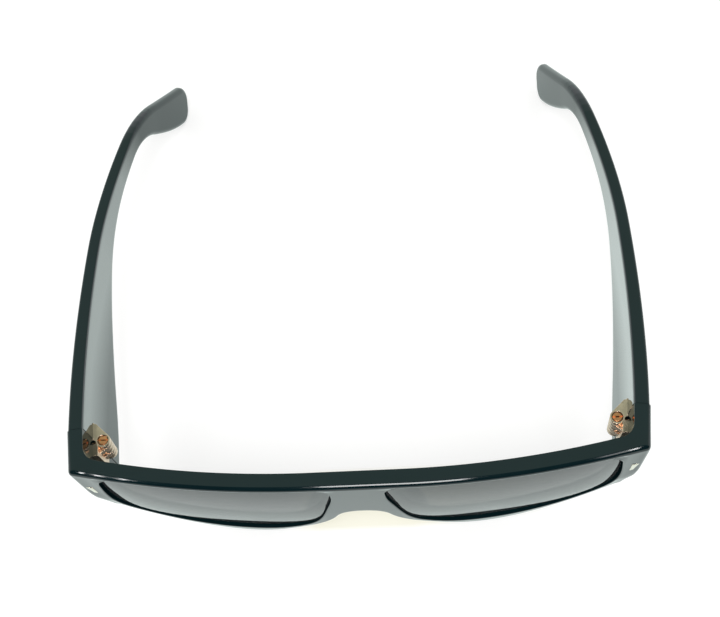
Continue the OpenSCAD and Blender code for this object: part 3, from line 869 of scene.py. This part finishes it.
def metal(name, rgb, rough, grain):
    """Plated metal with a drawn grain and a slightly darker, worn colour in places."""
    m, start, place = material(name)
    cloud = noise(start, place, 700, 3)
    drawn = start.node("Mapping", {}, {"Vector": place, "Scale": (600, 600, 9000)})
    lines = noise(start, drawn, 1, 2)
    worn = (2.2 * (cloud - 0.42)).clamp()
    bump = start.node("Bump", {}, {"Strength": grain, "Distance": 0.00005,
                                   "Height": lines + 0.4 * cloud})
    return surface(m, start.node("BsdfPrincipled", {}, {
        "Base Color": mixed(start, worn, toned(rgb, 0.72), rgb), "Metallic": 1.0,
        "Roughness": rough + 0.10 * cloud, "Normal": bump}))


# The pieces

def sizes():
    scene = bpy.context.scene
    return (BentSheet(scene.sunglasses_front), scene.sunglasses_temple,
            scene.sunglasses_fitting, scene.sunglasses_finish)


def finish_pair(right, names, body, slot, material, nodes, curved=False):
    """Shade the right piece and its mirrored copy, and set both on their bodies."""
    left = mirror_copy(right, names % "left")
    right.name = right.data.name = names % "right"
    for obj, side in ((right, "right"), (left, "left")):
        smooth(obj, curved)
        finish_piece(obj, body % side if "%" in body else body, slot, material, nodes % side)


class SUNGLASSES_OT_front(Operator):
    """Model the bent acetate front with its end pieces and lens grooves"""
    bl_idname = "sunglasses.front"
    bl_label = "Front frame"

    def execute(self, context):
        front, _, _, finish = sizes()
        s = front.s
        right = front.lower()
        left = [Vector((-p.x, p.y)) for p in reversed(right[1:])]
        top = [Vector((front.u_end, s.height)), Vector((-front.u_end, s.height))]
        eye = front.opening()
        eyes = [eye, [Vector((-p.x, p.y)) for p in eye]]
        obj = plate("front_acetate", left + right + top, eyes, s.sheet)
        rim = [p for e in eyes for p in e]

        def on_rim(pts):
            return all(any((q - p.xy).length < SAME for q in rim) for p in pts)

        sink_groove(obj, lambda pts: on_rim(pts) and pts[0].z != pts[2].z,
                    s.lens_inset - s.lens_gap, s.lens_inset + s.lens + s.lens_gap,
                    s.lens_bite + s.lens_gap)
        face = level_edge(0, s.sheet)
        end = lambda pts: all(abs(abs(p.x) - front.u_end) < SAME for p in pts)
        brow = lambda pts: level_edge(0)(pts) and all(abs(p.y - s.height) < SAME for p in pts)
        round_edges(obj, s.brow, 8, brow)
        round_edges(obj, s.edge, 6, lambda pts: face(pts) and not (
            on_rim(pts) or end(pts) or brow(pts) or all(p.y > s.height - SAME for p in pts)
            and not level_edge(s.sheet)(pts)))
        round_edges(obj, s.rim_edge, 3, lambda pts: face(pts) and on_rim(pts))
        round_edges(obj, s.joint_edge, 2, end)
        near = lambda p: any((p.xy - q).length < s.lens_bite for q in rim)
        walls = [abs(f.normal.z) < 0.7 and near(f.center) for f in obj.data.polygons]
        note_down(obj, "wall", "FACE", walls)
        cuts = front.stations(front.u_end)
        slice_at(obj, [-u for u in reversed(cuts[1:])] + cuts)
        # Rows of cuts where the face curves: the crown, then the dish and the two rolls
        slice_at(obj, [s.height - s.crown_height * (k / 6) ** 2 for k in range(3, 7)], 1)
        for foot, rise, rows in ((s.height - s.rim_top, s.dish_height, 6),
                                 (0, s.roll_height, 8),
                                 (s.height - s.lug_height, s.corner_roll_height, 8)):
            slice_at(obj, [foot + rise * (k + 1) / rows for k in range(rows)], 1)
        bend_to(obj, front.place)
        smooth(obj)
        finish_piece(obj, "front", "acetate", acetate("Front acetate", finish.acetate),
                     "front_frame")
        return {"FINISHED"}


class SUNGLASSES_OT_lenses(Operator):
    """Model the two bent lenses that sit in the grooves"""
    bl_idname = "sunglasses.lenses"
    bl_label = "Lenses"

    def execute(self, context):
        front, _, _, finish = sizes()
        s = front.s
        obj = plate("lens", grown(front.opening(), s.lens_bite), [], s.lens)
        round_edges(obj, s.lens_edge, 2, level_edge(0, s.lens))
        slice_at(obj, front.stations(front.u_side)[1:])
        low, high = s.rim_low, s.height - s.rim_top
        near, far = s.eye_in, front.u_side - s.rim_side
        middle, reach = (high + low) / 2, (high - low) / 2
        centre, half = (near + far) / 2, (far - near) / 2

        def place(u, z, d):
            swell = s.lens_crown * (1 - ((z - middle) / reach) ** 2) * max(
                0, 1 - ((u - centre) / half) ** 6)
            return front.place(u, z, d + s.lens_inset - swell)

        slice_at(obj, [middle + reach * k / 10 for k in range(-9, 10)], 1)
        bend_to(obj, place)
        glass = tinted_lens(finish.lens_top, finish.lens_foot, s.height, s.rim_low)
        finish_pair(obj, "lens_glass_%s", "front", "lens", glass, "lens_%s", True)
        return {"FINISHED"}


class SUNGLASSES_OT_temples(Operator):
    """Model the two tapering temples with their bend behind the ear"""
    bl_idname = "sunglasses.temples"
    bl_label = "Temples"

    def execute(self, context):
        front, t, _, finish = sizes()
        blade = Blade(front, t)
        obj = plate("temple", blade.outline(), [], t.thick)
        end = lambda pts: all(abs(p.x) < SAME for p in pts)
        face = level_edge(0, t.thick)
        round_edges(obj, t.round, 8, lambda pts: face(pts) and not end(pts))
        step = 3 * MM
        slice_at(obj, [i * step for i in range(1, int(t.length / step) + 1)])
        flat = [v.co for v in obj.data.vertices]
        note_down(obj, "along", "POINT", [p.x for p in flat])
        note_down(obj, "drop", "POINT", [-p.y for p in flat])
        note_down(obj, "inward", "POINT", [p.z for p in flat])
        bend_to(obj, lambda s, h, w: blade.place(*blade.rounded(s, -h, w)))
        finish_pair(obj, "temple_acetate_%s", "%s_temple", "temple_acetate",
                    acetate("Temple acetate", finish.acetate, painted_inner_sheen), "temple_%s")
        return {"FINISHED"}


class SUNGLASSES_OT_wires(Operator):
    """Give the two core wires inside the temples their steel"""
    bl_idname = "sunglasses.wires"
    bl_label = "Core wires"

    def execute(self, context):
        steel = metal("Drawn steel", sizes()[3].steel, 0.28, 0.3)
        for side in ("left", "right"):
            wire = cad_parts["core_wire_" + side]
            wire.data.materials.clear()
            wire.data.materials.append(steel)
        return {"FINISHED"}


class Hinge:
    """Places of the right hinge, whose barrel stands upright at the joint."""

    def __init__(self, front, f):
        s = front.s
        self.s, self.f = s, f
        self.height = KNUCKLES * f.knuckle + (KNUCKLES - 1) * f.knuckle_gap
        self.low = s.height - f.barrel_drop - self.height
        self.middle = self.low + self.height / 2
        self.axis = Vector((s.width / 2 - f.axis_in,
                            front.start + s.joint_y + f.axis_back))
        self.face_x = (front.joint + front.square * s.lug).x
        self.slope = tan(pi / 2 - s.lug_turn)
        self.on_face = (
            Matrix.Translation((self.wall(self.middle), front.start + s.joint_y, self.middle))
            @ Matrix.Rotation(s.lug_turn - pi / 2, 4, "Z") @ Matrix.Rotation(s.lug_cant, 4, "Y"))

    def wall(self, z):
        """Place of the acetate's inner face at the joint, at a height."""
        return self.face_x - tan(self.s.lug_cant) * (self.s.height - z)

    def plate(self, length, side):
        """A let-in plate with its two studs; side is 1 behind the joint and -1 before it."""
        f = self.f
        near = f.plate_off if side > 0 else -length - f.plate_off
        proud = f.plate - f.plate_sunk if side > 0 else f.plate_stand
        parts = [block((-proud, near, -self.height / 2),
                       (f.plate_sunk, near + length, self.height / 2), PLATE_EDGE)]
        for k in (-1, 1):
            across = near + length / 2 + k * 0.4 * (length - f.plate_front)
            lay = Matrix.Translation((0, across, k * self.height / 4)) @ Matrix.Rotation(
                pi / 2, 4, "Y")
            parts.append(peg(f.stud, f.plate_sunk - f.plate / 2,
                             f.plate_sunk + f.stud_length, STUD_EDGE, lay))
        for part in parts:
            turned_out(part, self.on_face)
        return parts

    def knuckle(self, i, side, length, bore):
        """A knuckle with its web, whose bore has this radius."""
        f, r = self.f, self.f.barrel
        start, share_of = (0.15 * MM, 0.9) if side > 0 else (0.6 * MM, 0.8)  # of the web
        first, sweep, facets = 130, 222, 40  # of the barrel's round part, in degrees
        low = self.low + i * (f.knuckle + f.knuckle_gap)
        far = f.plate_off + share_of * length
        wall = self.wall(low + f.knuckle / 2) - self.axis.x
        sunk = lambda y: wall + side * self.slope * y + 0.1 * MM
        reach = self.face_x - self.axis.x - f.plate
        shape = [(sunk(start), start), (sunk(far), far),
                 (min(reach, sunk(far) - 0.3 * MM), far)]
        shape += [(r * cos(a), r * sin(a)) for a in (
            radians(first + sweep * k / facets) for k in range(facets + 1))]
        hole = [(bore * cos(a), bore * sin(a)) for a in (
            2 * pi * k / facets for k in range(facets))]
        obj = plate("knuckle", shape, [hole], f.knuckle)
        round_edges(obj, KNUCKLE_EDGE, 3, level_edge(0, f.knuckle))
        bend_to(obj, lambda x, y, z: (self.axis.x + x, self.axis.y + side * y, low + z))
        return obj

    def leaf(self, name, rows, side, length):
        f = self.f
        parts = self.plate(length, side)
        for i in rows:
            top = i == KNUCKLES - 1
            bore = f.head + HEAD_PLAY if top else f.screw + SHANK_PLAY
            parts.append(self.knuckle(i, side, length, bore))
        return join_all(parts, name)


class SUNGLASSES_OT_hinges(Operator):
    """Model the two leaves of each hinge, with their knuckles, webs and studs"""
    bl_idname = "sunglasses.hinges"
    bl_label = "Hinges"

    def execute(self, context):
        front, _, f, finish = sizes()
        hinge = Hinge(front, f)
        gold = metal("Hinge gold", finish.gold, 0.20, 0.35)
        finish_pair(hinge.leaf("front_leaf", range(1, KNUCKLES, 2), -1, f.plate_front),
                    "front_leaf_%s", "front", "hinge_metal", gold, "front_hinge_%s")
        finish_pair(hinge.leaf("temple_leaf", range(0, KNUCKLES, 2), 1, f.plate_rear),
                    "temple_leaf_%s", "%s_temple", "hinge_metal", gold, "temple_hinge_%s")
        return {"FINISHED"}


class SUNGLASSES_OT_screws(Operator):
    """Model the slotted screw that pins each hinge"""
    bl_idname = "sunglasses.screws"
    bl_label = "Hinge screws"

    def execute(self, context):
        front, _, f, finish = sizes()
        hinge = Hinge(front, f)
        top = hinge.low + hinge.height
        head = peg(f.head, top - f.head_height, top, HEAD_EDGE, sides=64)
        slot = block((-2 * f.head, -f.slot / 2, top - f.slot),
                     (2 * f.head, f.slot / 2, top + f.head), SLOT_EDGE, 1)
        cut = head.modifiers.new("Driver slot", "BOOLEAN")
        cut.operation, cut.solver, cut.object = "DIFFERENCE", "EXACT", slot
        hold(head)
        bpy.ops.object.modifier_apply(modifier=cut.name)
        hold(slot)
        bpy.ops.object.delete()
        shank = peg(f.screw, hinge.low, top - f.head_height / 2, SHANK_EDGE)
        obj = join_all([head, shank], "screw")
        turned_out(obj, Matrix.Translation((hinge.axis.x, hinge.axis.y, 0)))
        finish_pair(obj, "pivot_screw_%s", "%s_temple", "screw_metal",
                    metal("Screw copper", finish.copper, 0.22, 0.2), "hinge_screw_%s")
        return {"FINISHED"}


class SUNGLASSES_OT_plaques(Operator):
    """Model the two plain gold plaques at the front's corners"""
    bl_idname = "sunglasses.plaques"
    bl_label = "Corner plaques"

    def execute(self, context):
        front, _, f, finish = sizes()
        s = front.s
        u = front.u_out - f.plaque_in
        p = front.outer(u)
        lay = (Matrix.Translation((p.x, front.start + p.y + s.lean * f.plaque_drop / s.height,
                                   s.height - f.plaque_drop))
               @ Matrix.Rotation((u - s.flat_half) / s.bend, 4, "Z")
               @ Matrix.Rotation(atan(s.lean / s.height), 4, "X"))
        w, h = f.plaque_width / 2, f.plaque_height / 2
        parts = [block((-w, -f.plaque_out, -h), (w, f.plaque_sunk, h), PLAQUE_EDGE, 4)]
        for k in (-1, 1):
            back = Matrix.Translation((0, 0, k * h / 2)) @ Matrix.Rotation(-pi / 2, 4, "X")
            parts.append(peg(f.pin, 0.1 * MM, f.plaque_sunk + f.pin_length, PIN_EDGE, back))
        obj = turned_out(join_all(parts, "plaque"), lay)
        finish_pair(obj, "gold_plaque_%s", "front", "plaque_metal",
                    metal("Plaque gold", finish.pale_gold, 0.12, 0.15), "corner_plaque_%s")
        return {"FINISHED"}


class SUNGLASSES_OT_pads(Operator):
    """Model the two nose pads behind the bridge"""
    bl_idname = "sunglasses.pads"
    bl_label = "Nose pads"

    def execute(self, context):
        front, _, f, finish = sizes()
        s = front.s
        top = Vector((s.arch_half + f.pad_side, s.height - s.bridge - f.pad_drop))
        down = Vector((sin(f.pad_tilt), -cos(f.pad_tilt)))
        across = Vector((cos(f.pad_tilt), sin(f.pad_tilt)))
        root = 0.6 * MM

        def place(x, y, z):
            t = min(1, max(0, (1 - z) / 2))
            full, a = sqrt(max(0, sin(pi * t))), atan2(y, x)
            c = top + down * f.pad_length * t
            narrowed = 1 - 0.15 * max(0, sin(a))
            q = c - across * (f.pad_width / 2 * full * cos(a) * narrowed)
            back = front.start + s.sheet - root + s.lean * (s.height - c.y) / s.height
            rise = (f.pad_out * full + root) if y > 0 else root
            return (q.x, back + rise * sin(a), q.y)

        clear_selection()
        bpy.ops.mesh.primitive_uv_sphere_add(segments=48, ring_count=32, radius=1)
        obj = bpy.context.object
        bend_to(obj, place)
        finish_pair(obj, "nose_rest_%s", "front", "pad_acetate",
                    acetate("Pad acetate", finish.acetate), "nose_pad_%s")
        return {"FINISHED"}


# The stage

def stand(name, data, axes, place):
    """Put a lamp or the camera on the stage by its three axes and its place."""
    obj = bpy.data.objects.new(name, data)
    bpy.context.scene.collection.objects.link(obj)
    pose = Matrix(axes).transposed().to_4x4()
    pose.translation = place
    obj.matrix_world = pose
    return obj


def lamp_row(name, places, wide, radiance, *ends):
    """Strip lamps turned towards the object, between the first ends and the last."""
    for k in places:
        start, end = (Vector(a).lerp(Vector(b), k) for a, b in zip(ends, ends[-2:]))
        middle, high = (start + end) / 2, (end - start).length
        data = bpy.data.lights.new(name, "AREA")
        data.shape, data.size, data.size_y = "RECTANGLE", wide, high
        data.energy = radiance * pi * wide * high
        along = (end - start).normalized()
        away = (middle - along * middle.dot(along)).normalized()
        stand(name, data, (along.cross(away), along, away), middle)


def studio_world():
    """White to the camera; to gloss, bright at the sides and dim in front and above."""
    world = bpy.data.worlds.new("Studio")
    bpy.context.scene.world = world
    start = emptied(world)
    sky = start.node("TexCoord", output="Generated")
    up = rising(part_of(start, sky, 2), 0.15, 0.4)
    ahead = 1 - rising(part_of(start, sky, 1), -0.15, 0.2)
    gloss = mixed(start, ahead, mixed(start, up, SIDES, ABOVE), AHEAD)
    light = mixed(start, ray(start, "Glossy"), AMBIENT, gloss)
    seen = mixed(start, ray(start, "Camera", "Transmission"), light, WHITE)
    surface(world, start.node("Background", {}, {"Color": seen, "Strength": 1.0}), "World")


def table_top(rgb):
    """A pale table, white to the camera and to gloss, with a cream shadow painted into its glow
    before the bridge.
    """
    m, start, place = material("Table top")
    cloud = noise(start, place, 14, 3)
    grain = noise(start, place, 900, 2)
    x, y = part_of(start, place, 0), part_of(start, place, 1)
    # These three masks mark the patch before the bridge where a cream shadow is painted into the
    # table's glow.
    before = rising(y - 0.09 * (x - 12 * MM).clamp(), -72.4 * MM, 1.6 * MM)
    behind = 1 - rising(y, -58 * MM, 4 * MM)
    across = rising(x, -21 * MM, 8 * MM) * (1 - rising(x, 10 * MM, 45 * MM))
    bump = start.node("Bump", {}, {"Strength": 0.03, "Distance": 0.0002, "Height": grain})
    # Painted shadow: in that patch the glow turns dimmer and cream.
    glow_with_painted_shadow = mixed(start, before * behind * across, GLOW, PAINTED_SHADOW)
    glow_with_painted_shadow = mixed(start, ray(start, "Glossy"), glow_with_painted_shadow, SHEEN)
    glow_with_painted_shadow = mixed(start, ray(start, "Camera", "Glossy", "Transmission"), BLACK, glow_with_painted_shadow)
    return surface(m, start.node("BsdfPrincipled", {}, {
        "Base Color": mixed(start, cloud, toned(rgb, 0.985), rgb),
        "Roughness": 0.6 + 0.1 * cloud, "Normal": bump,
        "Emission Color": glow_with_painted_shadow, "Emission Strength": 1.0}))


class SUNGLASSES_OT_stage(Operator):
    """Set the table, the soft lights and the camera"""
    bl_idname = "sunglasses.stage"
    bl_label = "Table, light and camera"

    def execute(self, context):
        finish = sizes()[3]
        clear_selection()
        bpy.ops.mesh.primitive_plane_add(size=8)
        table = bpy.context.object
        table.name = table.data.name = "table"
        table.data.materials.append(table_top(tuple(finish.table)))
        for row in LAMPS:
            lamp_row(*row)
        studio_world()
        context.scene.view_settings.view_transform = "Standard"
        self.camera()
        return {"FINISHED"}

    def camera(self):
        """The photograph's own view."""
        data = bpy.data.cameras.new("Camera")
        data.sensor_width, data.sensor_fit = 36, "HORIZONTAL"
        data.lens = FOCAL_PIXELS / IMAGE_WIDE * data.sensor_width
        data.clip_start, data.clip_end = 0.01, 20
        axes = [Vector((1, 0, 0)), Vector((0, 1, 0)), Vector((0, 0, 1))]
        for i, turn in enumerate((PITCH, YAW, -ROLL)):
            spin = Matrix.Rotation(turn, 3, axes[i])
            axes = [spin @ axis for axis in axes]
        bpy.context.scene.camera = stand("Camera", data, axes, CAMERA_PLACE)


PIECES = (SUNGLASSES_OT_front, SUNGLASSES_OT_lenses, SUNGLASSES_OT_temples,
          SUNGLASSES_OT_wires, SUNGLASSES_OT_hinges, SUNGLASSES_OT_screws,
          SUNGLASSES_OT_plaques, SUNGLASSES_OT_pads, SUNGLASSES_OT_stage)


class SUNGLASSES_PT_panel(Panel):
    """Lists the pieces of the sunglasses"""
    bl_label = "Square aviator sunglasses"
    bl_idname = "SUNGLASSES_PT_panel"
    bl_space_type = "VIEW_3D"
    bl_region_type = "UI"
    bl_category = "Sunglasses"

    def draw(self, context):
        for piece in PIECES:
            self.layout.operator(piece.bl_idname)
        for group in GROUPS:
            box = self.layout.box()
            values = getattr(context.scene, group)
            for key in values.__annotations__:
                box.prop(values, key)


GROUPS = {"sunglasses_front": FrontSizes, "sunglasses_temple": TempleSizes,
          "sunglasses_fitting": FittingSizes, "sunglasses_finish": Finishes}
CLASSES = (*GROUPS.values(), *PIECES, SUNGLASSES_PT_panel)


def register():
    for cls in CLASSES:
        bpy.utils.register_class(cls)
    for name, group in GROUPS.items():
        setattr(bpy.types.Scene, name, PointerProperty(type=group))


def unregister():
    for name in GROUPS:
        delattr(bpy.types.Scene, name)
    for cls in reversed(CLASSES):
        bpy.utils.unregister_class(cls)


def main():
    register()
    for piece in PIECES:
        group, name = piece.bl_idname.split(".")
        getattr(getattr(bpy.ops, group), name)()


if __name__ == "__main__":
    main()
